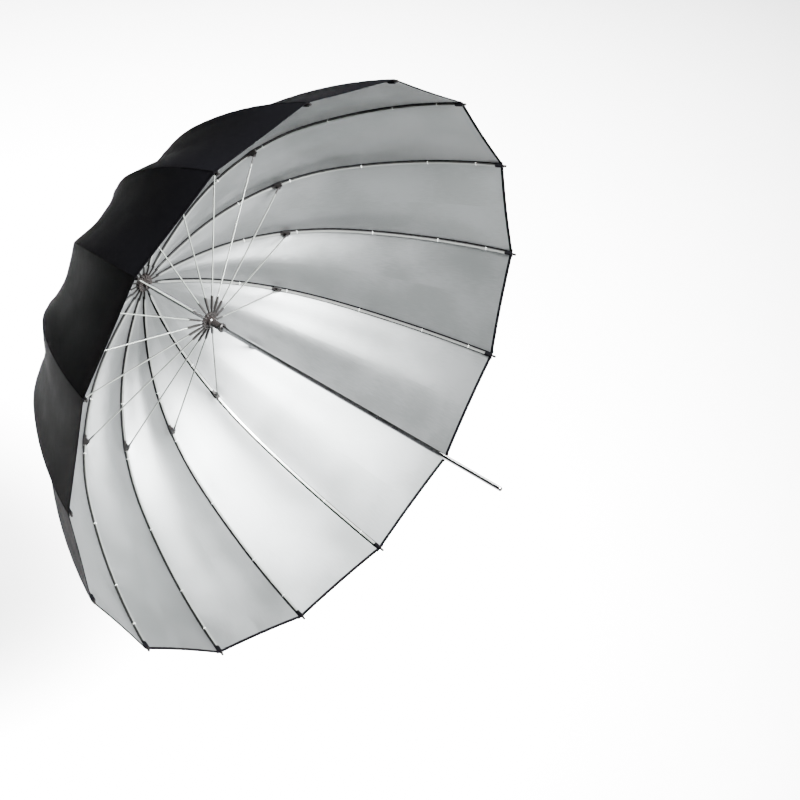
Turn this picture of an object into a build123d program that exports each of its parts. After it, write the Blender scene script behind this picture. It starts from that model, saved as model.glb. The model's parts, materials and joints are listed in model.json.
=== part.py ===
from build123d import *
from math import asin, atan2, cos, degrees, hypot, pi, radians, sin
import os

os.makedirs("parts", exist_ok=True)

# A deep sixteen-rib reflector umbrella, open. The shaft lies along Y: the crown is
# towards +Y and the free end, with the mouth of the bowl, towards -Y. The origin is
# the middle of the plain grip stretch of the shaft. Millimetres and degrees.

# overall sizes
RIB_COUNT = 16
FIRST_RIB = -2.3  # angle of rib 01 from +X towards +Z
RIM_RADIUS = 525.0  # shaft axis to the canopy's corners
BOWL_DEPTH = 391.0  # crown pins to the rim, along the shaft
GRIP_LENGTH = 268.0  # plain end of the shaft, where a holder clamps

# linkage
PIN_CIRCLE = 12.5  # radius on which ribs and struts are hinged at crown and runner
CLIP_AT = 288.0  # crown pin to strut clip, along the rib
CLIP_DROP = 5.5  # clip rivet below the rib's middle line
RUNNER_OPEN = 163.0  # crown pins to runner pins when open
RIB_SWING = 52.0  # how far a rib folds

# rib line: a straight run, then three arcs that bend less towards the tip
RIB_STRAIGHT = 32.0
KNOT_GAP = 0.01  # a knot this near to the end of a stretch is left out
TURN_SHARES = (0.09, 0.66, 0.25)
RUN_SHARES = (0.12, 0.44, 0.44)

# rib channel, open towards the canopy
RIB_WIDTH = 4.0
RIB_HEIGHT = 3.0
RIB_WALL = 0.6
CRIMP_START = 20.0  # flattened end changes to channel from here
CRIMP_END = 30.0
TIP_RADIUS = 2.3
TIP_START = 3.0  # tip ferrule starts this far before the rim
TIP_OVERHANG = 8.0  # and ends this far past it
TIP_CHAMFER = 1.2

# flattened rib and strut ends
EYE_RADIUS = 2.4
BLADE = 1.2  # thickness of a flattened end
WIRE_RADIUS = 0.75  # crown ring wire
WIRE_FLATS = 8
EYE_PLAY = 0.15

# strut
STRUT_RADIUS = 1.25
STRUT_BLADE_HEIGHT = 4.0
STRUT_BLADE_LENGTH = 32.0
STRUT_BLADE_THICK = 2.8  # where the blade is folded round the strut
STRUT_THIN_LENGTH = 9.0  # single thickness, which works in the runner's slot
LUG_PLAY = 0.4  # lug to each ear of the clip
LUG_LENGTH = 15.0
LUG_RADIUS = 1.55
T_PIN_RADIUS = 0.8
T_PIN_LENGTH = 3.4
T_PIN_PLAY = 0.1

# clip that carries the strut on the rib
CLIP_LENGTH = 14.0
CLIP_WALL = 0.9
CLIP_PLAY = 0.1
CLIP_NOSE = 2.6  # radius round the rivet
RIVET_RADIUS = 0.8
RIVET_PLAY = 0.1
LUG_WIDTH = RIB_WIDTH + 2 * (CLIP_PLAY - LUG_PLAY)

# canopy
CLOTH = 1.0
CLOTH_PLAY = 0.5  # clip to cloth
CLOTH_GAP = RIB_HEIGHT / 2 + CLIP_PLAY + CLIP_WALL + CLOTH_PLAY
SEAM_GAP = 0.3  # between neighbouring segments
PATCH_LAP = 3.0  # crown patch over the cloth's inner edge

# shaft
SHAFT_RADIUS = 4.0
SHAFT_WALL = 0.8
SHAFT_BEHIND = 17.0  # past the crown pins, inside the end cap
STOP_GROOVE_WIDTH = 1.2
STOP_GROOVE_DEPTH = 0.4
STOP_HEIGHT = 0.8  # stop ring above the tube
STOP_OPENING = 3.0  # gap of the split ring
PARK_GAP = 3.0  # closed runner to the stop ring
SHAFT_CHAMFER = 0.5
SLIDE_PLAY = 0.08
PRESS_PLAY = 0.02
PLUG_HEAD = 1.5
PLUG_CHAMFER = 0.6
PLUG_DEPTH = 10.0

# crown hub and runner
FLANGE_WALL = 3.0  # pin circle to the flange's rim
FLANGE_RADIUS = PIN_CIRCLE + FLANGE_WALL
SLOT_PLAY = 0.5
SLOT_WIDTH = BLADE + SLOT_PLAY
SLOT_BOTTOM = PIN_CIRCLE - EYE_RADIUS - SLOT_PLAY  # radius where the slots end
HUB_FRONT = 4.0
HUB_BACK = 3.2
HUB_NECK = 8.0
NECK_WALL = 3.0
HUB_PIN_RADIUS = 1.0
PLATE = 1.0
STACK_GAP = 0.2
CAP_LENGTH = 15.0
CAP_WALL = 1.5
CAP_FLARE = 0.8  # the cap tapers by this from its shoulder to its top
CAP_CHAMFER = 1.6
CAP_RIM = 3.5  # rim of the cap outside its wall
CAP_RIM_LENGTH = 3.0
CAP_SHOULDER = 2.0
CLOTH_MARGIN = 8.5  # hub flange to the cloth's inner edge
RUNNER_FRONT = 3.0
RUNNER_BACK = 7.0
RUNNER_LIP = 1.5  # flange behind the pins
RUNNER_COLLAR = 5.0
RUNNER_COLLAR_WALL = 4.6
RUNNER_CHAMFER = 2.0
SLEEVE_LENGTH = 26.0
SLEEVE_WALL = 2.6
RING_LENGTH = 5.0
RING_STEP = 1.6  # ring above the sleeve
RING_CHAMFER = 0.8
GROOVE_WIDTH = 2.6
GROOVE_DEPTH = 4.0  # runner's pin groove, open behind the pins

# spring catch
CATCH_LENGTH = 17.0
CATCH_HEIGHT = 3.0
CATCH_WIDTH = 1.6
CATCH_PLAY = 0.3
CATCH_LEAF = 1.2  # thickness of the spring
CATCH_NOSE = 2.0
CATCH_HEEL = 1.0  # how deep the spring's low end lies in the tube wall

# radii built up from the shaft and from the flange
STOP_RADIUS = SHAFT_RADIUS + STOP_HEIGHT
NECK_RADIUS = SHAFT_RADIUS + NECK_WALL
CAP_TOP_RADIUS = SHAFT_RADIUS + CAP_WALL
CAP_RADIUS = CAP_TOP_RADIUS + CAP_RIM
SLEEVE_RADIUS = SHAFT_RADIUS + SLEEVE_WALL
RING_RADIUS = SLEEVE_RADIUS + RING_STEP
COLLAR_RADIUS = SHAFT_RADIUS + RUNNER_COLLAR_WALL
CLOTH_START = FLANGE_RADIUS + CLOTH_MARGIN
PATCH_RADIUS = CLOTH_START + PATCH_LAP


def bend(turn):
    """End of the bent stretch, for a run of 1 and this whole turn in radians."""
    x = y = angle = 0.0
    for turn_share, run_share in zip(TURN_SHARES, RUN_SHARES):
        step = turn * turn_share
        radius = run_share / step
        x += radius * (sin(angle + step) - sin(angle))
        y += radius * (cos(angle) - cos(angle + step))
        angle += step
    return x, y


def solve_bend():
    """Whole turn and run that carry the rib from its straight end to the rim corner."""
    reach = RIM_RADIUS - PIN_CIRCLE - RIB_STRAIGHT
    low, high = 0.05, 2.8
    for _ in range(60):
        turn = (low + high) / 2
        x, y = bend(turn)
        if y / x < BOWL_DEPTH / reach:
            low = turn
        else:
            high = turn
    return turn, reach / x


RIB_TURN, RIB_RUN = solve_bend()
RIB_LENGTH = RIB_STRAIGHT + RIB_RUN


def rib_knots():
    """Lengths along the rib where its straight run and its arcs end."""
    knots = [0.0, RIB_STRAIGHT]
    for share in RUN_SHARES:
        knots.append(knots[-1] + RIB_RUN * share)
    return knots


def on_rib(length, outside=0.0):
    """Point at a length along the rib line, moved outwards from the bowl.

    The first coordinate is the distance from the shaft axis, the second the depth
    from the crown pins towards the mouth.
    """
    x, y, angle = PIN_CIRCLE, 0.0, 0.0
    knots = rib_knots()
    turns = [0.0] + [RIB_TURN * share for share in TURN_SHARES]
    for start, end, turn in zip(knots, knots[1:], turns):
        run = min(length, end) - start
        if run <= 0:
            break
        step = turn * run / (end - start)
        chord = run * (sin(step / 2) / (step / 2) if step else 1.0)
        x += chord * cos(angle + step / 2)
        y += chord * sin(angle + step / 2)
        angle += step
    past = length - knots[-1]
    if past > 0:
        x += past * cos(angle)
        y += past * sin(angle)
    return x + outside * sin(angle), y - outside * cos(angle), angle


# the linkage, worked out from the rib line
CLIP_X, CLIP_Y, _ = on_rib(CLIP_AT, -CLIP_DROP)
RIB_LINK = hypot(CLIP_X - PIN_CIRCLE, CLIP_Y)
STRUT_LENGTH = hypot(CLIP_X - PIN_CIRCLE, RUNNER_OPEN - CLIP_Y)
RIB_OPEN = atan2(CLIP_X - PIN_CIRCLE, CLIP_Y)
STRUT_OPEN = atan2(CLIP_X - PIN_CIRCLE, RUNNER_OPEN - CLIP_Y)
RIB_CLOSED = RIB_OPEN - radians(RIB_SWING)
STRUT_CLOSED = asin(RIB_LINK * sin(RIB_CLOSED) / STRUT_LENGTH)
RUNNER_CLOSED = RIB_LINK * cos(RIB_CLOSED) + STRUT_LENGTH * cos(STRUT_CLOSED)
TRAVEL = RUNNER_CLOSED - RUNNER_OPEN
STRUT_SWING = RIB_SWING + degrees(STRUT_OPEN - STRUT_CLOSED)

# places along the shaft, from the origin
RUNNER_TAIL = RUNNER_BACK + SLEEVE_LENGTH
STOP_Y = GRIP_LENGTH / 2 + STOP_GROOVE_WIDTH
CROWN_Y = STOP_Y + PARK_GAP + RUNNER_TAIL + RUNNER_CLOSED
RUNNER_Y = CROWN_Y - RUNNER_OPEN
SHAFT_END = -GRIP_LENGTH / 2 - SHAFT_CHAMFER
CATCH_Y = RUNNER_Y - RUNNER_TAIL - CATCH_PLAY
PLATE_Y = CROWN_Y + HUB_BACK + STACK_GAP
PATCH_Y = PLATE_Y + PLATE + STACK_GAP
CAP_Y = PATCH_Y + CLOTH + STACK_GAP


def at(point):
    """A point of the rib plane in row coordinates, before it is turned to its rib."""
    return point[0], CROWN_Y - point[1], 0.0


def turned(shape, index):
    """A shape of the rib plane, turned about the shaft to rib number index."""
    angle = FIRST_RIB + index * 360 / RIB_COUNT
    return Rot(0, -angle, 0) * shape


def edge_line(outside, start, end):
    """Edges that follow the rib line at one distance from it, arc by arc."""
    inner_knots = [knot for knot in rib_knots() if start + KNOT_GAP < knot < end - KNOT_GAP]
    stops = [start] + inner_knots + [end]
    edges = []
    for a, b in zip(stops, stops[1:]):
        first = at(on_rib(a, outside))
        last = at(on_rib(b, outside))
        if b < RIB_STRAIGHT + KNOT_GAP:
            edges.append(Line(first, last))
        else:
            middle = at(on_rib((a + b) / 2, outside))
            edges.append(ThreePointArc(first, middle, last))
    return edges


def band(inside, outside, start, end):
    """Face of the rib plane between two lines that follow the rib."""
    inner = edge_line(inside, start, end)
    outer = edge_line(outside, start, end)
    first_cap = Line(inner[0] @ 0, outer[0] @ 0)
    last_cap = Line(inner[-1] @ 1, outer[-1] @ 1)
    return make_face(inner + outer + [first_cap, last_cap])


def slab(face, low, high):
    """A face of the rib plane made solid between two distances from that plane."""
    return Pos(0, 0, low) * extrude(face, amount=high - low, dir=(0, 0, 1))


def disc(radius, low, high, point):
    """A round solid across the rib plane, centred on a point of that plane."""
    x, y, _ = at(point)
    return Pos(x, y, (low + high) / 2) * Cylinder(radius, high - low)


def rib_channel():
    """Bent steel channel with its crown end pressed flat round the ring wire."""
    end = RIB_LENGTH - TIP_START
    half = RIB_WIDTH / 2
    skin = RIB_HEIGHT / 2
    channel = slab(band(-skin, skin, CRIMP_END, end), -half, half)
    hollow_face = band(-skin + RIB_WALL, skin + 1, CRIMP_END, end + 1)
    channel -= slab(hollow_face, -half + RIB_WALL, half - RIB_WALL)
    flat = slab(band(-skin, skin, 0, CRIMP_START), -BLADE / 2, BLADE / 2)
    flat += disc(EYE_RADIUS, -BLADE / 2, BLADE / 2, (PIN_CIRCLE, 0))
    flat -= disc(WIRE_RADIUS + EYE_PLAY, -BLADE, BLADE, (PIN_CIRCLE, 0))
    return channel + crimp() + flat


def crimp():
    """Taper from the flattened end to the channel's full width."""
    sections = []
    for length, width in ((CRIMP_START, BLADE), (CRIMP_END, RIB_WIDTH)):
        x, y, _ = at(on_rib(length))
        plane = Plane((x, y, 0), x_dir=(0, 1, 0), z_dir=(1, 0, 0))
        sections.append(plane * Rectangle(RIB_HEIGHT, width))
    return loft(sections)


def rib_tip():
    """Ferrule on the rib's end, chamfered where it leaves the canopy's corner."""
    x, y, angle = on_rib(RIB_LENGTH - TIP_START)
    length = TIP_START + TIP_OVERHANG
    tip = Cylinder(TIP_RADIUS, length, align=(Align.CENTER, Align.CENTER, Align.MIN))
    tip = chamfer(tip.faces().sort_by(Axis.Z)[-1].edges(), TIP_CHAMFER)
    plane = Plane((x, CROWN_Y - y, 0), z_dir=(cos(angle), -sin(angle), 0))
    return plane * tip


def clip_bracket():
    """U-shaped clip pressed over the rib, with two ears that hold the strut's rivet."""
    skin = RIB_HEIGHT / 2 + CLIP_PLAY
    inner = RIB_WIDTH / 2 + CLIP_PLAY
    outer = inner + CLIP_WALL
    start = CLIP_AT - CLIP_LENGTH / 2
    end = CLIP_AT + CLIP_LENGTH / 2
    web = slab(band(skin, skin + CLIP_WALL, start, end), -outer, outer)
    corners = [
        at(on_rib(start, skin + CLIP_WALL)),
        at(on_rib(end, skin + CLIP_WALL)),
        at(on_rib(end, -skin)),
        at(on_rib(CLIP_AT + CLIP_NOSE, -CLIP_DROP)),
        at(on_rib(CLIP_AT - CLIP_NOSE, -CLIP_DROP)),
        at(on_rib(start, -skin)),
    ]
    side = make_face(Polyline(*corners, close=True))
    ears = slab(side, inner, outer) + slab(side, -outer, -inner)
    ears += disc(CLIP_NOSE, inner, outer, (CLIP_X, CLIP_Y))
    ears += disc(CLIP_NOSE, -outer, -inner, (CLIP_X, CLIP_Y))
    hole = disc(RIVET_RADIUS + PRESS_PLAY, -outer - 1, outer + 1, (CLIP_X, CLIP_Y))
    return web + ears - hole


def clip_rivet():
    """Rivet through the clip's ears and the strut's lug."""
    half = RIB_WIDTH / 2 + CLIP_PLAY + CLIP_WALL
    return disc(RIVET_RADIUS, -half, half, (CLIP_X, CLIP_Y))


def along_strut(shape):
    """A shape made along +X from the runner pin, moved to the open strut's place."""
    slope = degrees(pi / 2 - STRUT_OPEN)
    return Pos(*at((PIN_CIRCLE, RUNNER_OPEN))) * Rot(0, 0, slope) * shape


def strut_wire():
    """Round wire of the strut, between its two pressed ends."""
    length = STRUT_LENGTH - STRUT_BLADE_LENGTH - LUG_LENGTH
    wire = Cylinder(STRUT_RADIUS, length, rotation=(0, 90, 0))
    return along_strut(Pos(STRUT_BLADE_LENGTH + length / 2, 0, 0) * wire)


def strut_blade():
    """Folded sheet end: thin where it works in the runner's slot, with a cross pin."""
    thick = STRUT_BLADE_LENGTH - STRUT_THIN_LENGTH
    thin = Box(STRUT_THIN_LENGTH, STRUT_BLADE_HEIGHT, BLADE)
    thin = Pos(STRUT_THIN_LENGTH / 2, 0, 0) * thin
    eye = Cylinder(EYE_RADIUS, BLADE)
    fold = Box(thick, STRUT_BLADE_HEIGHT, STRUT_BLADE_THICK)
    fold = Pos(STRUT_THIN_LENGTH + thick / 2, 0, 0) * fold
    pin = Cylinder(T_PIN_RADIUS, T_PIN_LENGTH)
    return along_strut(thin + eye + fold + pin)


def strut_lug():
    """Pressed lug at the clip: a sleeve on the wire and a flat eye for the rivet."""
    eye = Cylinder(CLIP_NOSE, LUG_WIDTH)
    sleeve = Cylinder(LUG_RADIUS, LUG_LENGTH, rotation=(0, 90, 0))
    sleeve = Pos(-LUG_LENGTH / 2, 0, 0) * sleeve
    lug = eye + sleeve - Cylinder(RIVET_RADIUS + RIVET_PLAY, LUG_WIDTH + 1)
    return along_strut(Pos(STRUT_LENGTH, 0, 0) * lug)


def canopy_half(side):
    """Cloth from a rib to the middle of the gore beside it, on one side of the rib.

    The rib line is carried along the straight line to the next rib, so the gore is
    one surface, and it is cut at the gore's middle.
    """
    half_angle = pi / RIB_COUNT
    reach = 2 * RIM_RADIUS * sin(half_angle)
    start = CLOTH_START - PIN_CIRCLE
    cloth = band(CLOTH_GAP, CLOTH_GAP + CLOTH, start, RIB_LENGTH)
    way = (-sin(half_angle), 0, side * cos(half_angle))
    sheet = extrude(cloth, amount=reach, dir=way)
    far = Pos(0, 0, side * (RIM_RADIUS - SEAM_GAP / 2)) * Box(
        3 * RIM_RADIUS, 4 * RIM_RADIUS, 2 * RIM_RADIUS
    )
    far = Rot(0, -side * degrees(half_angle), 0) * far
    return sheet - Pos(0, CROWN_Y - RIM_RADIUS, 0) * far


def canopy_segment():
    """The cloth that one rib carries: half a gore on each side of it."""
    return canopy_half(1) + canopy_half(-1)


def round_body(outline):
    """Solid of revolution about the shaft axis from (radius, row Y) corners."""
    corners = [(radius, y, 0) for radius, y in outline]
    face = make_face(Polyline(*corners, close=True))
    return revolve(face, axis=Axis.Y)


def slots(low, high):
    """One radial slot for each rib, from a depth low to a depth high along Y."""
    length = FLANGE_RADIUS + 2 - SLOT_BOTTOM
    slot = Pos(SLOT_BOTTOM + length / 2, (low + high) / 2, 0) * Box(
        length, high - low, SLOT_WIDTH
    )
    return [turned(slot, index) for index in range(RIB_COUNT)]


def crown_hub():
    """Notched hub: ribs swing in its slots on a ring wire laid in from behind."""
    bore = SHAFT_RADIUS + PRESS_PLAY
    front = CROWN_Y - HUB_FRONT
    back = CROWN_Y + HUB_BACK
    hub = round_body(
        [
            (bore, front - HUB_NECK),
            (NECK_RADIUS, front - HUB_NECK),
            (NECK_RADIUS, front),
            (FLANGE_RADIUS, front),
            (FLANGE_RADIUS, back),
            (bore, back),
        ]
    )
    wire = WIRE_RADIUS + PRESS_PLAY
    groove = round_body(
        [
            (PIN_CIRCLE - wire, CROWN_Y - wire),
            (PIN_CIRCLE + wire, CROWN_Y - wire),
            (PIN_CIRCLE + wire, back + 1),
            (PIN_CIRCLE - wire, back + 1),
        ]
    )
    hub -= groove
    hub -= slots(front - 1, back + 1)
    return hub - hub_pin_hole(0)


def hub_pin_hole(play):
    """Cross hole for the pin through the hub's neck and the shaft."""
    middle = CROWN_Y - HUB_FRONT - HUB_NECK / 2
    pin = Cylinder(HUB_PIN_RADIUS + play, 2 * NECK_RADIUS)
    return Pos(0, middle, 0) * pin


def crown_wire():
    """Ring wire that threads the ribs' eyes, its round section drawn with flats."""
    section = Pos(PIN_CIRCLE, CROWN_Y, 0) * RegularPolygon(WIRE_RADIUS, WIRE_FLATS)
    return revolve(section, axis=Axis.Y)


def ring_plate(inner, outer, low, thickness):
    """Flat washer about the shaft, from low upwards along Y."""
    high = low + thickness
    return round_body([(inner, low), (outer, low), (outer, high), (inner, high)])


def end_cap():
    """Turned cap on the shaft's back end, which clamps the canopy's middle."""
    low = CAP_Y
    inside = SHAFT_RADIUS + PRESS_PLAY
    shaft_back = CROWN_Y + SHAFT_BEHIND + PRESS_PLAY
    top = low + CAP_LENGTH
    return round_body(
        [
            (0, shaft_back),
            (inside, shaft_back),
            (inside, low),
            (CAP_RADIUS, low),
            (CAP_RADIUS, low + CAP_RIM_LENGTH),
            (CAP_TOP_RADIUS + CAP_FLARE, low + CAP_RIM_LENGTH + CAP_SHOULDER),
            (CAP_TOP_RADIUS, top - CAP_CHAMFER),
            (CAP_TOP_RADIUS - CAP_CHAMFER, top),
            (0, top),
        ]
    )


def shaft():
    """Steel tube with a groove for the stop ring, a catch slot and the pin hole."""
    back = CROWN_Y + SHAFT_BEHIND
    inner = SHAFT_RADIUS - SHAFT_WALL
    tube = round_body(
        [
            (inner, SHAFT_END),
            (SHAFT_RADIUS - SHAFT_CHAMFER, SHAFT_END),
            (SHAFT_RADIUS, SHAFT_END + SHAFT_CHAMFER),
            (SHAFT_RADIUS, STOP_Y - STOP_GROOVE_WIDTH),
            (SHAFT_RADIUS - STOP_GROOVE_DEPTH, STOP_Y - STOP_GROOVE_WIDTH),
            (SHAFT_RADIUS - STOP_GROOVE_DEPTH, STOP_Y),
            (SHAFT_RADIUS, STOP_Y),
            (SHAFT_RADIUS, back),
            (inner, back),
        ]
    )
    length = CATCH_LENGTH + 2 * CATCH_PLAY
    window = Pos(0, CATCH_Y - CATCH_LENGTH / 2, SHAFT_RADIUS) * Box(
        CATCH_WIDTH + CATCH_PLAY, length, 2 * SHAFT_RADIUS
    )
    return tube - window - hub_pin_hole(0)


def stop_ring():
    """Split ring in the shaft's groove, where the closed runner comes to rest."""
    inner = SHAFT_RADIUS - STOP_GROOVE_DEPTH + PRESS_PLAY
    low = STOP_Y - STOP_GROOVE_WIDTH + SLIDE_PLAY
    ring = ring_plate(inner, STOP_RADIUS, low, STOP_GROOVE_WIDTH - 2 * SLIDE_PLAY)
    opening = Box(STOP_OPENING, 4 * STOP_GROOVE_WIDTH, 2 * STOP_RADIUS)
    return ring - Pos(0, STOP_Y, -STOP_RADIUS) * opening


def shaft_plug():
    """Plastic plug in the free end of the tube."""
    inner = SHAFT_RADIUS - SHAFT_WALL - PRESS_PLAY
    lip = SHAFT_RADIUS - SHAFT_CHAMFER
    return round_body(
        [
            (0, SHAFT_END - PLUG_HEAD),
            (lip - PLUG_CHAMFER, SHAFT_END - PLUG_HEAD),
            (lip, SHAFT_END - PLUG_HEAD + PLUG_CHAMFER),
            (lip, SHAFT_END - PRESS_PLAY),
            (inner, SHAFT_END - PRESS_PLAY),
            (inner, SHAFT_END + PLUG_DEPTH),
            (0, SHAFT_END + PLUG_DEPTH),
        ]
    )


def spring_catch():
    """Leaf spring in the shaft: its square nose holds the open runner up."""
    root = -SHAFT_RADIUS + SHAFT_WALL + CATCH_LEAF
    top = SHAFT_RADIUS + CATCH_HEIGHT
    low = CATCH_Y - CATCH_LENGTH
    corners = [
        (root, CATCH_Y),
        (top, CATCH_Y),
        (top, CATCH_Y - CATCH_NOSE),
        (SHAFT_RADIUS - CATCH_HEEL, low),
        (SHAFT_RADIUS - CATCH_HEEL - CATCH_LEAF, low),
        (top - 2 * CATCH_LEAF, CATCH_Y - 2 * CATCH_LEAF),
        (root, CATCH_Y - CATCH_LEAF),
    ]
    face = make_face(Polyline(*[(0, y, z) for z, y in corners], close=True))
    half = CATCH_WIDTH / 2
    return Pos(-half, 0, 0) * extrude(face, amount=CATCH_WIDTH, dir=(1, 0, 0))


def runner():
    """Slider: a notched flange whose groove seats the struts' pins, and its sleeve."""
    bore = SHAFT_RADIUS + SLIDE_PLAY
    front = RUNNER_Y + RUNNER_FRONT
    back = RUNNER_Y - RUNNER_BACK
    groove_back = RUNNER_Y - GROOVE_DEPTH
    groove_front = RUNNER_Y + T_PIN_RADIUS + T_PIN_PLAY
    tail = back - SLEEVE_LENGTH + RING_LENGTH
    body = round_body(
        [
            (bore, front + RUNNER_COLLAR),
            (COLLAR_RADIUS - RUNNER_CHAMFER, front + RUNNER_COLLAR),
            (COLLAR_RADIUS, front),
            (FLANGE_RADIUS, front),
            (FLANGE_RADIUS, RUNNER_Y - RUNNER_LIP),
            (COLLAR_RADIUS, RUNNER_Y - RUNNER_LIP),
            (COLLAR_RADIUS, back),
            (SLEEVE_RADIUS, back - RUNNER_CHAMFER),
            (SLEEVE_RADIUS, tail),
            (bore, tail),
        ]
    )
    groove = round_body(
        [
            (PIN_CIRCLE - GROOVE_WIDTH / 2, groove_front),
            (PIN_CIRCLE + GROOVE_WIDTH / 2, groove_front),
            (PIN_CIRCLE + GROOVE_WIDTH / 2, groove_back),
            (PIN_CIRCLE - GROOVE_WIDTH / 2, groove_back),
        ]
    )
    return body - groove - slots(groove_back, front + 1)


def runner_ring():
    """Steel ring pressed on the end of the runner's sleeve, which meets the catch."""
    bore = SHAFT_RADIUS + SLIDE_PLAY
    low = RUNNER_Y - RUNNER_TAIL
    return round_body(
        [
            (bore, low),
            (RING_RADIUS - RING_CHAMFER, low),
            (RING_RADIUS, low + RING_CHAMFER),
            (RING_RADIUS, low + RING_LENGTH - RING_CHAMFER),
            (RING_RADIUS - RING_CHAMFER, low + RING_LENGTH),
            (bore, low + RING_LENGTH),
        ]
    )


def solids(*shapes):
    """Several pieces as one node."""
    bodies = []
    for shape in shapes:
        bodies += shape.solids()
    return Compound(bodies)


def save(name, *shapes):
    export_step(solids(*shapes), f"parts/{name}.step")


rib_pieces = (rib_channel(), rib_tip(), clip_bracket(), clip_rivet())
strut_pieces = (strut_wire(), strut_blade(), strut_lug())
segment = canopy_segment()
for index in range(RIB_COUNT):
    number = f"{index + 1:02d}"
    save(f"rib_{number}", *[turned(piece, index) for piece in rib_pieces])
    save(f"strut_{number}", *[turned(piece, index) for piece in strut_pieces])
    save(f"canopy_segment_{number}", turned(segment, index))

plate_bore = SHAFT_RADIUS + PRESS_PLAY
save("crown_hub", crown_hub())
save("crown_wire", crown_wire())
save("hub_pin", hub_pin_hole(-PRESS_PLAY))
save("crown_plate", ring_plate(plate_bore, FLANGE_RADIUS, PLATE_Y, PLATE))
save("crown_patch", ring_plate(plate_bore, PATCH_RADIUS, PATCH_Y, CLOTH))
save("end_cap", end_cap())
save("shaft", shaft())
save("shaft_plug", shaft_plug())
save("stop_ring", stop_ring())
save("spring_catch", spring_catch())
save("runner", runner())
save("runner_ring", runner_ring())
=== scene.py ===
import json
import math
import bpy
import numpy as np
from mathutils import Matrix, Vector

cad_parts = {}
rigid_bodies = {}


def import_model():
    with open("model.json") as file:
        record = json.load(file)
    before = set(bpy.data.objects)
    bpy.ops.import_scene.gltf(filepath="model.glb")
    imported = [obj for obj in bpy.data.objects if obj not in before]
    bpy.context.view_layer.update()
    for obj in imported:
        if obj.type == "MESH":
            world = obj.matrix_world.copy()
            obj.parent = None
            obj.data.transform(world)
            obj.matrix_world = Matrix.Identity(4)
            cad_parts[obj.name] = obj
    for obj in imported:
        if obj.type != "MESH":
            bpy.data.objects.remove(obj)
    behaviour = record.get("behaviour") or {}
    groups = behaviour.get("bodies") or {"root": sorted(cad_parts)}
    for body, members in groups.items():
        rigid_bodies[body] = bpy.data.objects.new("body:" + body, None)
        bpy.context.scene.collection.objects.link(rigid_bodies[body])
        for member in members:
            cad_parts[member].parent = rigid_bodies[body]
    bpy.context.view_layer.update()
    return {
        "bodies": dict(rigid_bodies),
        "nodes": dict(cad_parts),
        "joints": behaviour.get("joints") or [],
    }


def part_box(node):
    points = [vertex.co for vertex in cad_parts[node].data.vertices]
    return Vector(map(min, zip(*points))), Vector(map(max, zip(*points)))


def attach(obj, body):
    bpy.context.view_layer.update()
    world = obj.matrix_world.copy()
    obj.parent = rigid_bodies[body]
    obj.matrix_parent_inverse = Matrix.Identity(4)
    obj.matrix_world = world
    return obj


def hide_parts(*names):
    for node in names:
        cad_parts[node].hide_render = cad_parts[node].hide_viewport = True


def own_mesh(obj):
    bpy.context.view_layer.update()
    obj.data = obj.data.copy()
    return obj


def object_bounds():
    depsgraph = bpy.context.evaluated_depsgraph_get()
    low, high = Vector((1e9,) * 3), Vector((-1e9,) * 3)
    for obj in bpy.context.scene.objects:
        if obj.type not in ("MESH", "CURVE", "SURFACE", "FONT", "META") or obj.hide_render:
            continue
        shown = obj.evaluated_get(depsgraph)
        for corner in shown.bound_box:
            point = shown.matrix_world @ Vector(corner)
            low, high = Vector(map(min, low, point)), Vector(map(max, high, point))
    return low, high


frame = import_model()


# Room: a pale floor well below the umbrella, a pale sky for soft fill, one large
# soft light above and in front of the mouth, and one that whitens the floor behind.
# The camera stands in front, to the left and above, and looks into the bowl.

joint_at = {joint["name"]: joint.get("pos_m") for joint in frame["joints"]}
rib_count = sum(name.startswith("rib_") for name in frame["bodies"])
crown_x, crown_y, crown_z = joint_at["rib_01_hinge"]
pin_circle = math.hypot(crown_x, crown_z)
first_rib = math.atan2(crown_z, crown_x)
rim_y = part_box("canopy_segment_01")[0].y
rim_radius = (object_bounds()[1].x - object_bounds()[0].x) / 2


def make_mesh(name, points, faces, materials=(), uv=None, face_material=None):
    """One object from an array of points and an array of four-cornered faces."""
    mesh = bpy.data.meshes.new(name)
    mesh.from_pydata(points.reshape(-1, 3).tolist(), [], faces.tolist())
    if uv is not None:
        layer = mesh.uv_layers.new(name="cloth")
        layer.data.foreach_set("uv", uv[faces].astype(np.float32).ravel())
    for material in materials:
        mesh.materials.append(material)
    if face_material is not None:
        mesh.polygons.foreach_set("material_index", face_material.astype(np.int32))
    mesh.shade_smooth()
    mesh.update()
    piece = bpy.data.objects.new(name, mesh)
    bpy.context.scene.collection.objects.link(piece)
    return piece


class Field:
    """A shader value or colour. Arithmetic on it adds Math nodes to its finish."""

    def __init__(self, finish, socket):
        self.finish = finish
        self.socket = socket

    def maths(self, operation, *values):
        return self.finish.node("ShaderNodeMath", {"operation": operation}, *values)

    def __add__(self, other):
        return self.maths("ADD", self, other)

    def __sub__(self, other):
        return self.maths("SUBTRACT", self, other)

    def __mul__(self, other):
        return self.maths("MULTIPLY", self, other)

    def __truediv__(self, other):
        return self.maths("DIVIDE", self, other)

    def __rsub__(self, other):
        return self.maths("SUBTRACT", other, self)

    def __pow__(self, other):
        return self.maths("POWER", self, other)

    __radd__ = __add__
    __rmul__ = __mul__

    def wave(self):
        return self.maths("SINE", self)

    def size(self):
        return self.maths("ABSOLUTE", self)

    def larger(self, other):
        return self.maths("MAXIMUM", self, other)

    def above(self, limit, soft):
        """0 well below a limit and 1 well above it, with a soft step between."""
        return self.finish.ramp(self, limit - soft, limit + soft, 0.0, 1.0)


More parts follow.
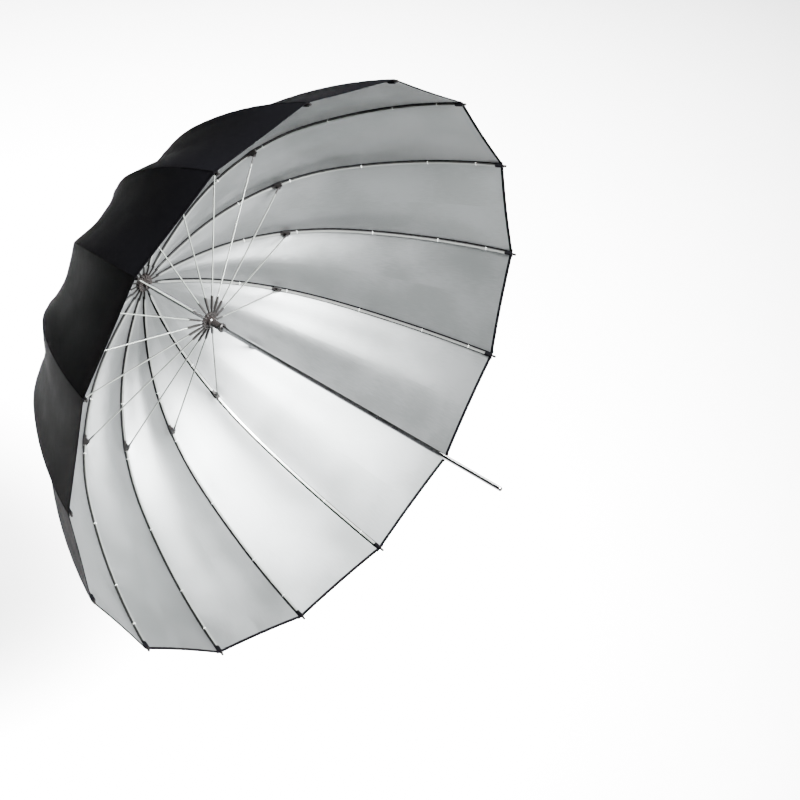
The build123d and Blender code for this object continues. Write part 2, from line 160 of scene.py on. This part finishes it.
class Finish:
    """A material under construction: its nodes, and the shader they end in."""

    def __init__(self, name, **constants):
        self.material = bpy.data.materials.new(name)
        self.material.use_nodes = True
        self.tree = self.material.node_tree
        self.shader = self.tree.nodes["Principled BSDF"]
        for socket, value in constants.items():
            self.shader.inputs[socket.replace("_", " ")].default_value = value

    def node(self, kind, settings, *values, out=0, **named):
        """A node with its settings, then its sockets by order or by name."""
        made = self.tree.nodes.new(kind)
        for key, value in settings.items():
            setattr(made, key, value)
        sockets = list(enumerate(values)) + list(named.items())
        for key, value in sockets:
            socket = made.inputs[key if isinstance(key, int) else key.replace("_", " ")]
            if isinstance(value, Field):
                self.tree.links.new(value.socket, socket)
            else:
                socket.default_value = value
        return Field(self, made.outputs[out])

    def place(self, kind="Object"):
        """Coordinates of the piece, or of its own UV map."""
        return self.node("ShaderNodeTexCoord", {}, out=kind)

    def stretched(self, place, scale):
        return self.node("ShaderNodeMapping", {}, Vector=place, Scale=scale)

    def parts(self, place):
        """The three coordinates of a place as values."""
        split = self.node("ShaderNodeSeparateXYZ", {}, Vector=place).socket.node
        return [Field(self, socket) for socket in split.outputs]

    def noise(self, place, scale, detail=3.0, rough=0.5):
        return self.node(
            "ShaderNodeTexNoise", {}, Vector=place, Scale=scale, Detail=detail,
            Roughness=rough,
        )

    def ramp(self, value, low, high, first, last):
        return self.node(
            "ShaderNodeMapRange", {"interpolation_type": "SMOOTHSTEP"},
            value, low, high, first, last,
        )

    def mix(self, share, first, last):
        """A colour between two, each four numbers or a colour field."""
        made = self.tree.nodes.new("ShaderNodeMix")
        made.data_type = "RGBA"
        for index, value in ((0, share), (6, first), (7, last)):
            if isinstance(value, Field):
                self.tree.links.new(value.socket, made.inputs[index])
            else:
                made.inputs[index].default_value = value
        return Field(self, made.outputs[2])

    def feed(self, **sockets):
        for name, value in sockets.items():
            target = self.shader.inputs[name.replace("_", " ")]
            self.tree.links.new(value.socket, target)

    def bump(self, height, distance, strength=1.0, under=None):
        """Relief from a height field, distance in metres."""
        sockets = {"Strength": strength, "Distance": distance, "Height": height}
        if under is not None:
            sockets["Normal"] = under
        return self.node("ShaderNodeBump", {}, **sockets)


def area_light(name, place, aim, size, power, spread):
    """A round soft light at a place, turned towards its aim."""
    light = bpy.data.lights.new(name, "AREA")
    light.shape = "DISK"
    light.spread = math.radians(spread)
    light.size = size
    light.energy = power
    lamp = bpy.data.objects.new(name, light)
    way = np.array(aim) - np.array(place)
    lamp.location = place
    lamp.rotation_mode = "QUATERNION"
    lamp.rotation_quaternion = Vector(way).to_track_quat("-Z", "Y")
    bpy.context.scene.collection.objects.link(lamp)
    return lamp


def room():
    """Floor, sky and lights."""
    floor_z = -1.0
    reach = 14.0
    corners = np.array(
        [[-reach, -reach, floor_z], [reach, -reach, floor_z],
         [reach, reach, floor_z], [-reach, reach, floor_z]]
    )
    paint = Finish("floor_paint", Roughness=0.9)
    shade = paint.noise(paint.place(), 0.6)
    paint.feed(Base_Color=paint.mix(shade, (0.88, 0.88, 0.88, 1), (0.91, 0.91, 0.91, 1)))
    floor = make_mesh("floor", corners, np.array([[0, 1, 2, 3]]), [paint.material])
    world = bpy.data.worlds.new("room")
    world.use_nodes = True
    sky = world.node_tree.nodes["Background"]
    sky.inputs["Color"].default_value = (1.0, 1.0, 1.0, 1)
    sky.inputs["Strength"].default_value = 0.25
    bpy.context.scene.world = world
    bowl = (0.0, (crown_y + rim_y) / 2, 0.0)
    area_light("key_light", (0.3, -2.8, 2.6), bowl, 2.6, 640, 32)
    area_light("floor_light", (2.0, 2.6, 3.0), (1.3, 1.4, floor_z), 2.0, 260, 56)


def long_lens_camera():
    """Camera on a long lens, turned only about its upright and its level axis."""
    azimuth = math.radians(-47.0)
    elevation = math.radians(37.84)
    back = np.array([
        math.sin(azimuth) * math.cos(elevation),
        -math.cos(azimuth) * math.cos(elevation),
        math.sin(elevation),
    ])
    right = np.array([math.cos(azimuth), math.sin(azimuth), 0.0])
    up = np.cross(back, right)
    rim_centre = np.array([0.0, rim_y, 0.0])
    shift_right, shift_up, distance = 0.160, -0.041, 5.125
    place = rim_centre + shift_right * right + shift_up * up + distance * back
    lens = bpy.data.cameras.new("camera")
    lens.sensor_width = 36.0
    lens.lens = 137.9
    lens.clip_start = 0.1
    lens.clip_end = 100.0
    camera = bpy.data.objects.new("camera", lens)
    camera.location = place
    camera.rotation_mode = "QUATERNION"
    camera.rotation_quaternion = Vector(-back).to_track_quat("-Z", "Y")
    bpy.context.scene.collection.objects.link(camera)
    bpy.context.scene.camera = camera


room()
long_lens_camera()


# Canopy: sixteen gores of woven cloth, black outside and coated silver inside,
# sewn to each other along the ribs and stretched by them. Each rib carries half a
# gore on each side, so the cloth is split at the middle of each gore.

RIB_STRAIGHT = 0.032
RIB_RUN = 0.66599
RIB_TURN = math.radians(67.6623)
TURN_SHARES = (0.09, 0.66, 0.25)
RUN_SHARES = (0.12, 0.44, 0.44)
RIB_LENGTH = RIB_STRAIGHT + RIB_RUN
CLOTH_INSIDE = 0.0030
CLOTH_OUTSIDE = 0.0036
CLOTH_START = 0.0045
CLIP_AT = 0.288
THREAD_PITCH = 0.0007
HOLLOW = 0.0095
PUCKER = 0.00022
PUCKER_PITCHES = (0.0127, 0.0231)
CLIP_TENT = 0.0013
SEAM_ROUND = 0.004
HALF_GORE = math.pi / rib_count
chance = np.random.default_rng(16)


def rib_line(length):
    """Radius, depth and slope on the rib: the slope grows evenly along each arc,
    and the line is the sum of small steps along that slope."""
    steps = np.linspace(0, RIB_LENGTH, 2801)
    knots = RIB_STRAIGHT + RIB_RUN * np.cumsum((0.0,) + RUN_SHARES)
    turns = RIB_TURN * np.cumsum((0.0,) + TURN_SHARES)
    slope = np.interp(steps, knots, turns)
    middle = (slope[1:] + slope[:-1]) / 2
    step = steps[1]
    radius = pin_circle + np.concatenate([[0], np.cumsum(np.cos(middle) * step)])
    depth = np.concatenate([[0], np.cumsum(np.sin(middle) * step)])
    past = np.maximum(length - RIB_LENGTH, 0)
    angle = np.interp(length, steps, slope)
    return (
        np.interp(length, steps, radius) + past * np.cos(angle),
        np.interp(length, steps, depth) + past * np.sin(angle),
        angle,
    )


def rib_frame(index):
    """The radial and the sideways direction of one rib."""
    angle = first_rib + index * 2 * math.pi / rib_count
    radial = np.array([math.cos(angle), 0.0, math.sin(angle)])
    sideways = np.array([-math.sin(angle), 0.0, math.cos(angle)])
    return radial, sideways


# slack of each gore: long soft folds from crown to rim, their number across the
# gore, their slant, their start and their height
gore_folds = [
    [
        (chance.uniform(0.7, 2.4), chance.uniform(-1.2, 1.2),
         chance.uniform(0, 2 * math.pi), chance.uniform(0.0003, 0.0008))
        for _ in range(4)
    ]
    for _ in range(rib_count)
]


def gore_slack(gore, length, across):
    """How far the cloth stands off its flat chord, outwards from the bowl.

    Across runs from -1 on one rib to 1 on the next. The cloth is drawn inwards as a
    flattened parabola whose depth grows to mid rib, it carries soft folds that die
    out at the ribs, it puckers along the seams where the thread draws it up, and it
    stands up over each clip bracket as a low bell curve on both sides of the seam.
    """
    share = np.clip(length / RIB_LENGTH, 0, 1)
    free = 1 - across ** 2
    hollow = HOLLOW * np.sin(math.pi * share ** 1.1) ** 1.3 + 0.001 * share
    slack = -hollow * free ** 1.6
    for number, slant, start, height in gore_folds[gore % rib_count]:
        wave = np.sin(math.pi * number * across + slant * 2 * math.pi * share + start)
        slack = slack + height * wave * free ** 1.5 * np.sin(math.pi * share ** 0.8)
    radius = rib_line(length)[0]
    from_seam = (1 - np.abs(across)) * radius * math.sin(HALF_GORE)
    turns = [length * 2 * math.pi / pitch for pitch in PUCKER_PITCHES]
    ripple = np.sin(turns[0] + gore * 1.7) + 0.6 * np.sin(turns[1] + gore * 0.9)
    near_seam = np.exp(-from_seam / 0.006) * (1 - np.exp(-from_seam / 0.001))
    slack = slack + PUCKER * ripple * near_seam
    over_clip = np.exp(-(((length - CLIP_AT) / 0.013) ** 2)) * np.exp(-((from_seam / 0.012) ** 4))
    return slack + CLIP_TENT * over_clip * (1 - np.exp(-((from_seam / 0.002) ** 4)))


def on_cloth(rib, side_share, length, outside):
    """Points of the cloth round one rib.

    Side share runs from -1 to 1, and 0 is the rib. A point starts on the rib line,
    goes along the chord to the neighbouring rib, and then stands off along the
    normal of that chord's surface by the cloth's slack and by the layer's height.
    """
    radial, sideways = rib_frame(rib)
    radius, depth, angle = rib_line(length)
    side = np.where(side_share < 0, -1.0, 1.0)
    share = np.abs(side_share)
    gore = np.where(side_share < 0, rib - 1, rib)
    across = np.where(side_share < 0, 1 - share, share - 1)
    slack = np.where(
        gore == rib,
        gore_slack(rib, length, across),
        gore_slack(rib - 1, length, across),
    )
    off = outside + slack
    chord = share * radius * math.sin(HALF_GORE)
    # on the rib both gores' normals are shared, towards mid gore each takes its own
    lean = HALF_GORE * np.clip(chord / SEAM_ROUND, 0, 1)
    out_radial = np.sin(angle) * np.cos(lean)
    out_side = np.sin(angle) * np.sin(lean) * side
    r = radius - chord * math.sin(HALF_GORE) + off * out_radial
    t = side * chord * math.cos(HALF_GORE) + off * out_side
    y = crown_y - (depth - off * np.cos(angle))
    points = r[..., None] * radial + t[..., None] * sideways
    points[..., 1] = y
    return points


def grid_faces(rows, columns, start=0, wrap=False):
    """Faces of a grid of points, rows by columns, its last column joined if wrapped."""
    index = start + np.arange(rows * columns).reshape(rows, columns)
    if wrap:
        index = np.concatenate([index, index[:, :1]], axis=1)
    return np.stack(
        [index[:-1, :-1], index[:-1, 1:], index[1:, 1:], index[1:, :-1]], -1
    ).reshape(-1, 4)


def closed_sheet(name, inner, outer, uv, materials):
    """A thin closed body between two grids: skins and the strips along four edges."""
    rows, columns = inner.shape[:2]
    count = rows * columns
    skin_in = grid_faces(rows, columns)
    skin_out = grid_faces(rows, columns, count)[:, ::-1]
    index = np.arange(count).reshape(rows, columns)
    edges = []
    for line in (index[0], index[:, -1], index[-1, ::-1], index[::-1, 0]):
        edges.append(np.stack([line[1:], line[:-1], line[:-1] + count, line[1:] + count], -1))
    edge_faces = np.concatenate(edges)
    faces = np.concatenate([skin_in, skin_out, edge_faces])
    marks = np.concatenate([
        np.zeros(len(skin_in)), np.ones(len(skin_out)), np.ones(len(edge_faces)),
    ])
    points = np.concatenate([inner.reshape(-1, 3), outer.reshape(-1, 3)])
    both = np.concatenate([uv.reshape(-1, 2), uv.reshape(-1, 2)])
    piece = make_mesh(name, points, faces, materials, both, marks)
    # the skins keep their own shading up to the cut edge
    border = np.zeros(inner.shape[:2], bool)
    border[[0, -1], :] = True
    border[:, [0, -1]] = True
    border = np.concatenate([border.ravel(), border.ravel()])
    ends = np.zeros(2 * len(piece.data.edges), np.int32)
    piece.data.edges.foreach_get("vertices", ends)
    sharp = piece.data.attributes.new("sharp_edge", "BOOLEAN", "EDGE")
    sharp.data.foreach_set("value", border[ends.reshape(-1, 2)].all(1))
    return piece


def weave_of(across, along):
    """Threads both ways: the product of one sine across and one along the cloth."""
    return (across * (2 * math.pi / THREAD_PITCH)).wave() * (
        along * (2 * math.pi / THREAD_PITCH)
    ).wave()


def silver_cloth():
    """Silver coating on woven cloth: satin, metallic, with the weave just showing."""
    cloth = Finish("silver_coating", Metallic=0.92, Specular_IOR_Level=0.5)
    place = cloth.place("UV")
    across, along, _ = cloth.parts(place)
    weave = weave_of(across, along)
    streak = cloth.noise(cloth.stretched(place, (420.0, 60.0, 1.0)), 1.0, 4.0)
    cloudy = cloth.noise(place, 9.0, 1.5, 0.5)
    tone = streak * 0.35 + cloudy * 0.65
    tint = cloth.ramp(tone, 0.38, 0.62, 0.0, 1.0)
    cloth.feed(
        Base_Color=cloth.mix(tint, (0.072, 0.076, 0.076, 1), (0.086, 0.090, 0.091, 1)),
        Roughness=cloth.ramp(tone, 0.3, 0.7, 0.42, 0.50),
    )
    creases = cloth.bump(cloudy, 0.003, 0.5)
    cloth.feed(Normal=cloth.bump(weave, 0.00006, 0.5, creases))
    return cloth.material


def black_cloth():
    """Black taffeta outside: a fine weave with a low, broad sheen."""
    cloth = Finish("black_taffeta", Specular_IOR_Level=0.01)
    place = cloth.place("UV")
    across, along, _ = cloth.parts(place)
    weave = weave_of(across, along)
    streak = cloth.noise(cloth.stretched(place, (420.0, 90.0, 1.0)), 1.0, 4.0)
    cloudy = cloth.noise(place, 9.0, 5.0, 0.6)
    tone = streak * 0.3 + cloudy * 0.7
    cloth.feed(
        Base_Color=cloth.mix(tone, (0.0010, 0.0010, 0.0013, 1), (0.0018, 0.0018, 0.0024, 1)),
        Roughness=cloth.ramp(tone, 0.3, 0.7, 0.68, 0.80),
    )
    creases = cloth.bump(cloudy, 0.002, 0.4)
    cloth.feed(Normal=cloth.bump(weave, 0.00006, 0.5, creases))
    return cloth.material


silver = silver_cloth()
black = black_cloth()
ROWS_ALONG = 141
along_rib = CLOTH_START + (RIB_LENGTH - CLOTH_START) * np.linspace(0, 1, ROWS_ALONG)
half_shares = np.concatenate([[0, 0.012, 0.03, 0.06], np.linspace(0.11, 0.985, 13), [1.0]])
side_shares = np.concatenate([-half_shares[::-1], half_shares[1:]])


def rim_recess(side_share):
    """How far the hem curves in towards the crown between two corners."""
    share = np.abs(side_share)
    return 0.0015 * (1 - (1 - share) ** 2)


def canopy(rib):
    """The cloth of one rib, with its name, body, flat size and area."""
    stretch = np.linspace(0, 1, ROWS_ALONG)[:, None]
    length = along_rib[:, None] - rim_recess(side_shares)[None, :] * stretch ** 6
    shares = np.broadcast_to(side_shares, length.shape)
    inner = on_cloth(rib, shares, length, CLOTH_INSIDE)
    outer = on_cloth(rib, shares, length, CLOTH_OUTSIDE)
    width = shares * rib_line(length)[0] * math.sin(HALF_GORE)
    uv = np.stack([width + 0.4 * rib, length], -1)
    name = f"cloth_{rib + 1:02d}"
    piece = closed_sheet(name, inner, outer, uv, [silver, black])
    ride_folded(piece, rib)
    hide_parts(f"canopy_segment_{rib + 1:02d}")
    flat = (2 * rim_radius * math.sin(HALF_GORE), RIB_LENGTH - CLOTH_START)
    steps = np.diff(along_rib)
    radius = rib_line(along_rib)[0]
    area = float((2 * radius[1:] * math.sin(HALF_GORE) * steps).sum())
    return piece, flat, area


def ride_folded(piece, rib):
    """Ride on the rib, with a mesh of its own."""
    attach(piece, f"rib_{rib + 1:02d}")
    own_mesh(piece)


canopies = [canopy(rib) for rib in range(rib_count)]


# Hem: black binding tape folded over the cut edge of each gore and stitched, a
# little over five millimetres wide on both faces.

HEM_WIDTH = 0.0054
HEM_OUT = 0.0007
HEM_TAPE = 0.00045
STITCH_PITCH = 0.0032


def tape_finish():
    """Black tape: ribs across it and one row of stitches along its middle."""
    tape = Finish("binding_tape", Roughness=0.8, Specular_IOR_Level=0.01)
    across, along, _ = tape.parts(tape.place("UV"))
    rib_weave = (across * (2 * math.pi / 0.0009)).wave()
    stitch = (across * (2 * math.pi / STITCH_PITCH)).wave().above(0.2, 0.25)
    stitch = stitch * (1 - ((along - HEM_WIDTH / 2).size() / 0.0005).above(1.0, 0.3))
    tape.feed(
        Base_Color=tape.mix(stitch, (0.0008, 0.0008, 0.0010, 1), (0.0025, 0.0025, 0.0026, 1)),
        Normal=tape.bump(rib_weave * 0.4 + stitch, 0.0002, 0.8),
    )
    return tape.material


tape = tape_finish()
loop = np.linspace(0, 2 * math.pi, 14, endpoint=False)


def tube_faces(rows, columns, start=0):
    """Faces of a tube from rows of points round its section, each end closed by a
    fan of four-cornered faces across it."""
    index = start + np.arange(rows * columns).reshape(rows, columns)
    sides = grid_faces(rows, columns, start, wrap=True)
    caps = []
    for row, turn in ((index[0], -1), (index[-1], 1)):
        for step in range(columns // 2 - 1):
            caps.append([row[step], row[step + 1], row[-2 - step], row[-1 - step]][::turn])
    return np.concatenate([sides, np.array(caps)])


def hem(rib):
    """A flattened tube, its section an oblong loop, carried along the rim."""
    middle_off = (CLOTH_INSIDE + CLOTH_OUTSIDE) / 2
    thick = (CLOTH_OUTSIDE - CLOTH_INSIDE) / 2 + HEM_TAPE
    reach = HEM_WIDTH / 2
    shares = np.linspace(-1, 1, 49)[:, None]
    edge = RIB_LENGTH + HEM_OUT - reach - rim_recess(shares)
    ends = np.sign(np.cos(loop)) * np.abs(np.cos(loop)) ** 0.45
    sides = np.sign(np.sin(loop)) * np.abs(np.sin(loop)) ** 0.7
    length = edge + reach * ends[None, :]
    off = middle_off + thick * sides[None, :]
    points = on_cloth(rib, np.broadcast_to(shares, length.shape), length, off)
    uv = np.stack([
        np.broadcast_to(shares * 0.103 + 0.4 * rib, length.shape),
        np.broadcast_to((ends[None, :] + 1) * reach, length.shape),
    ], -1)
    faces = tube_faces(*length.shape)[:, ::-1]
    name = f"hem_{rib + 1:02d}"
    piece = make_mesh(name, points, faces, [tape], uv.reshape(-1, 2))
    ride_folded(piece, rib)
    return piece


hems = [hem(rib) for rib in range(rib_count)]


# Seams: inside, a flat black tape lies between the rib and the cloth; outside, the
# two gores meet in a narrow raised fell with one row of thread.

SEAM_TAPE = 0.0078
SEAM_FELL = 0.0026
SEAM_START = 0.018
SEAM_END = 0.0025


def rib_tube(rib, length, side, off):
    """Points beside one rib, at a distance to its side and an offset outwards."""
    radial, sideways = rib_frame(rib)
    radius, depth, angle = rib_line(length)
    r = radius + off * np.sin(angle)
    y = crown_y - depth + off * np.cos(angle)
    points = r[..., None] * radial + side[..., None] * sideways
    points[..., 1] = y
    return points


def thread_finish(name, first, last):
    """Twisted thread: a colour between two, by fine noise."""
    thread = Finish(name, Roughness=0.65, Sheen_Weight=0.2)
    place = thread.place()
    twist = thread.noise(place, 1500.0, 2.0)
    thread.feed(
        Base_Color=thread.mix(twist, first, last),
        Normal=thread.bump(twist, 0.0002, 0.6),
    )
    return thread.material


light_thread = thread_finish("light_thread", (0.16, 0.17, 0.16, 1), (0.24, 0.25, 0.24, 1))


def seam(rib):
    """Two flat tubes with oblong sections, one inside and one outside the cloth. The
    inner one narrows with the gores towards the hub, the outer one wanders a little
    and rises and falls with its stitches."""
    length = np.linspace(SEAM_START, RIB_LENGTH - SEAM_END, 181)[:, None]
    turn = np.linspace(0, 2 * math.pi, 12, endpoint=False)[None, :]
    across = np.sign(np.cos(turn)) * np.abs(np.cos(turn)) ** 0.6
    rise = np.sign(np.sin(turn)) * np.abs(np.sin(turn)) ** 0.7
    wander = 0.00012 * np.sin(length * 900.0 + rib) + 0.00008 * np.sin(length * 2170.0)
    everywhere = np.ones_like(length * turn)
    stitch = 0.0001 * np.cos(length * 2 * math.pi / 0.0034)
    chord = rib_line(length)[0] * math.sin(HALF_GORE) * math.cos(HALF_GORE)
    tape_points = on_cloth(
        rib, across * np.minimum(SEAM_TAPE / 2 / chord, 0.30), length * everywhere,
        CLOTH_INSIDE - 0.0002 + 0.00025 * rise,
    )
    fell_points = rib_tube(
        rib, length * everywhere, across * SEAM_FELL / 2 + wander,
        CLOTH_OUTSIDE + 0.0001 + rise * (0.00035 + stitch),
    )
    rows, columns = everywhere.shape
    points = np.concatenate([tape_points.reshape(-1, 3), fell_points.reshape(-1, 3)])
    faces = np.concatenate([
        tube_faces(rows, columns), tube_faces(rows, columns, rows * columns)
    ])
    uv = np.stack([across * 0.003 + 0 * length, length + 0 * across], -1).reshape(-1, 2)
    piece = make_mesh(f"seam_{rib + 1:02d}", points, faces, [tape], np.concatenate([uv, uv]))
    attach(piece, f"rib_{rib + 1:02d}")
    return piece


# Ties: the cloth is tied to each rib with two turns of light thread round the
# channel, whose ends run up into the seam.

TIE_PLACES = (0.30, 0.44, 0.63, 0.805, 0.93)
THREAD = 0.00032
TIE_SIDE = 0.0024
TIE_HEIGHT = 0.00188
TIE_TAIL = 0.0010


def tie_path(at_length):
    """Two turns round the channel, a rounded oblong in section, as length along the
    rib, sideways and outwards distances, with both ends rising as a bell curve."""
    turn = np.linspace(-0.25, 1.75, 49) * 2 * math.pi
    along = at_length + 0.0007 * (turn / (2 * math.pi) - 0.75)
    side = TIE_SIDE * np.sign(np.cos(turn)) * np.abs(np.cos(turn)) ** 0.5
    out = TIE_HEIGHT * np.sign(-np.sin(turn)) * np.abs(np.sin(turn)) ** 0.5
    from_end = np.minimum(turn - turn[0], turn[-1] - turn)
    out = out + TIE_TAIL * np.exp(-((from_end / 0.25) ** 2))
    return along, side, out


def ties(rib):
    """A round thread along each tie's path: the section stands across the path."""
    rings = np.linspace(0, 2 * math.pi, 6, endpoint=False)
    points, faces, start = [], [], 0
    for share in TIE_PLACES:
        at_length = share * RIB_LENGTH + chance.uniform(-0.004, 0.004)
        along, side, out = tie_path(at_length)
        centre = rib_tube(rib, along, side, out)
        ahead = np.gradient(centre, axis=0)
        ahead /= np.linalg.norm(ahead, axis=1)[:, None]
        rib_way = rib_tube(rib, along + 0.001, side, out) - centre
        first = rib_way - (rib_way * ahead).sum(1)[:, None] * ahead
        first /= np.linalg.norm(first, axis=1)[:, None]
        second = np.cross(ahead, first)
        section = (
            np.cos(rings)[None, :, None] * first[:, None, :]
            + np.sin(rings)[None, :, None] * second[:, None, :]
        )
        tube_points = centre[:, None, :] + THREAD * section
        points.append(tube_points.reshape(-1, 3))
        faces.append(tube_faces(len(centre), len(rings), start))
        start += len(centre) * len(rings)
    piece = make_mesh(
        f"ties_{rib + 1:02d}", np.concatenate(points), np.concatenate(faces), [light_thread]
    )
    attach(piece, f"rib_{rib + 1:02d}")
    return piece


# Corner pockets: a triangle of doubled black cloth stitched over each rib's end, so
# that only the ferrule's nose looks out.

POCKET = 0.0135
POCKET_HALF = 0.0085
POCKET_NOSE = 0.0021
POCKET_RISE = 0.0060
POCKET_SKIN = 0.00025


def pocket(rib):
    """A sheet over the ferrule: its offset is a bell curve across the rib, and its
    width narrows in a straight line from the hem to the blunt inner end."""
    v = np.linspace(0, 1, 19)[:, None]
    u = np.linspace(-1, 1, 25)[None, :]
    length = RIB_LENGTH - POCKET + (POCKET + 0.0009) * v + 0 * u
    half = POCKET_NOSE + (POCKET_HALF - POCKET_NOSE) * v
    side = half * u
    swell = np.clip(v / 0.18, 0, 1) * (2 - np.clip(v / 0.18, 0, 1))
    bell = np.exp(-((side / 0.0032) ** 4))
    rim_u = np.clip((1 - np.abs(u)) / 0.12, 0, 1)
    off = CLOTH_INSIDE - 0.0003 - POCKET_RISE * bell * rim_u * (0.72 + 0.28 * swell)
    off = off + 0.00012 * np.sin(side * 2900.0 + 6 * v + rib)
    upper = rib_tube(rib, length, side, off + POCKET_SKIN)
    lower = rib_tube(rib, length, side, off - POCKET_SKIN)
    uv = np.stack([side, length], -1)
    piece = closed_sheet(f"pocket_{rib + 1:02d}", lower, upper, uv, [tape, tape])
    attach(piece, f"rib_{rib + 1:02d}")
    return piece


for rib in range(rib_count):
    seam(rib)
    ties(rib)
    pocket(rib)


# Crown patch: a round of black cloth over the gathered gores, held under the cap.

PATCH_THICK = 0.0006


def crown_patch():
    """A shallow dome of revolution with one pucker to each rib, doubled at its hem."""
    shaft_radius = (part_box("shaft_plug")[1].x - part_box("shaft_plug")[0].x) / 2
    low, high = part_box("crown_patch")
    reach = (high.x - low.x) / 2
    radius = np.linspace(shaft_radius + 0.0006, reach, 25)[:, None]
    turn = np.linspace(0, 2 * math.pi, rib_count * 12 + 1)[None, :]
    share = (radius - radius[0]) / (reach - radius[0])
    pucker = 0.00022 * np.cos(rib_count * (turn - first_rib)) * share ** 2
    drop = (low.y - crown_y - CLOTH_OUTSIDE - 0.0003) * share ** 5
    top = high.y - 0.0002 - drop + pucker - 0.0003 * share
    stitched = 0.00025 * np.exp(-(((radius - reach + 0.0022) / 0.0004) ** 2))
    hem_rise = 0.0002 * np.clip((share - 0.86) / 0.02, 0, 1)
    grids = []
    for height in (top - PATCH_THICK, top + hem_rise - stitched):
        height = height + 0 * turn
        grids.append(np.stack([radius * np.cos(turn), height, radius * np.sin(turn)], -1))
    uv = np.stack([radius * turn, radius + 0 * turn], -1)
    piece = closed_sheet("patch", grids[1], grids[0], uv, [black, black])
    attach(piece, "shaft")
    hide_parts("crown_patch")
    return piece, reach


patch, patch_reach = crown_patch()


# Ribs and struts: bright plated steel channel and drawn wire, with dark pressed ends and painted
# shade on their side walls.

def plated(name, metallic, first, last, dark_inside, dark_outside):
    """Bright plating, darkened where the distance from the shaft is in the dark
    ranges, and with painted shade on side walls, whose normal lies across the rib:
    its part across is the normal's x times the place's z less its z times the
    place's x, over the distance. It has fine drawn lines and small stains."""
    metal = Finish(name, Metallic=metallic, Specular_IOR_Level=0.15)
    place = metal.place()
    x, _, z = metal.parts(place)
    distance = (x * x + z * z) ** 0.5
    dark = 1 - distance.above(dark_inside, 0.0006)
    for low, high in dark_outside:
        dark = dark + distance.above(low, 0.0004) * (1 - distance.above(high, 0.0004))
    normal_x, _, normal_z = metal.parts(metal.place("Normal"))
    across = ((normal_x * z - normal_z * x) / distance).size()
    # painted shade: side walls, whose normal lies across the rib, take the dark colour as if they
    # stood in shade
    painted_wall_shade = across.above(0.70, 0.08) * 0.85
    lines = metal.noise(metal.stretched(place, (300.0, 900.0, 300.0)), 1.0, 2.0)
    stain = metal.noise(place, 60.0, 4.0, 0.6)
    bright = metal.mix(stain, first, last)
    # the dark colour stands both for the dark pressed ends and for the painted shade on the side
    # walls
    metal.feed(
        Base_Color=metal.mix(
            dark.larger(painted_wall_shade), bright, (0.0050, 0.0046, 0.0045, 1)
        ),
        Roughness=metal.ramp(stain, 0.3, 0.7, 0.30, 0.42) + dark * 0.1,
        Normal=metal.bump(lines, 0.00005, 0.5),
    )
    return metal.material


clip_place = joint_at["strut_01_hinge"]
clip_radius = math.hypot(clip_place[0], clip_place[2])
rib_metal = plated(
    "plated_channel", 0.7, (0.072, 0.076, 0.072, 1), (0.105, 0.109, 0.105, 1), 0.034,
    [(clip_radius - 0.008, clip_radius + 0.008), (rim_radius - 0.010, 1.0)],
)
strut_metal = plated(
    "plated_wire", 0.3, (0.052, 0.058, 0.052, 1), (0.074, 0.080, 0.074, 1), 0.043,
    [(clip_radius - 0.0148, 1.0)],
)
for index in range(rib_count):
    for kind, metal in (("rib", rib_metal), ("strut", strut_metal)):
        node = frame["nodes"][f"{kind}_{index + 1:02d}"]
        node.data.materials.clear()
        node.data.materials.append(metal)


# Shaft: chromed steel tube, and the dark steel and nylon fittings on it.

def chrome():
    """Chrome: faint smears, and drawn lines along the tube."""
    metal = Finish("chromed_tube", Metallic=1.0)
    place = metal.place()
    drawn = metal.noise(metal.stretched(place, (900.0, 6.0, 900.0)), 1.0, 2.0)
    smears = metal.noise(metal.stretched(place, (30.0, 12.0, 30.0)), 1.0, 4.0, 0.6)
    metal.feed(
        Base_Color=metal.mix(smears, (0.12, 0.122, 0.124, 1), (0.18, 0.182, 0.185, 1)),
        Roughness=metal.ramp(smears, 0.3, 0.7, 0.05, 0.12),
        Normal=metal.bump(drawn, 0.00003, 0.4),
    )
    return metal.material


def nylon(name, first, last, rough=0.45):
    """Moulded nylon: even colour, faint flow marks and a fine grain."""
    plastic = Finish(name, Specular_IOR_Level=0.10)
    place = plastic.place()
    flow = plastic.noise(place, 90.0, 3.0)
    grain = plastic.noise(place, 2400.0, 2.0)
    plastic.feed(
        Base_Color=plastic.mix(flow, first, last),
        Roughness=plastic.ramp(flow, 0.3, 0.7, rough - 0.06, rough + 0.08),
        Normal=plastic.bump(grain, 0.00004, 0.5),
    )
    return plastic.material


def blackened():
    """Blackened spring steel with worn, brighter patches where the noise peaks."""
    metal = Finish("blackened_steel", Metallic=0.8)
    place = metal.place()
    wear = metal.noise(place, 220.0, 5.0, 0.65).above(0.6, 0.06)
    metal.feed(
        Base_Color=metal.mix(wear, (0.0050, 0.0047, 0.0046, 1), (0.022, 0.021, 0.021, 1)),
        Roughness=metal.ramp(wear, 0.0, 1.0, 0.42, 0.30),
    )
    return metal.material


tube = chrome()
grey_nylon = nylon("grey_nylon", (0.0026, 0.0022, 0.0021, 1), (0.0060, 0.0052, 0.0050, 1), 0.26)
black_plastic = nylon("black_moulding", (0.0012, 0.0012, 0.0014, 1), (0.0025, 0.0025, 0.0027, 1))
dark_steel = blackened()
fittings = {
    "shaft": tube, "shaft_plug": black_plastic, "end_cap": black_plastic,
    "crown_hub": grey_nylon, "runner": grey_nylon, "runner_ring": dark_steel,
    "stop_ring": tube, "spring_catch": dark_steel, "crown_wire": dark_steel,
    "hub_pin": dark_steel, "crown_plate": dark_steel,
}
for name, material in fittings.items():
    node = frame["nodes"][name]
    node.data.materials.clear()
    node.data.materials.append(material)
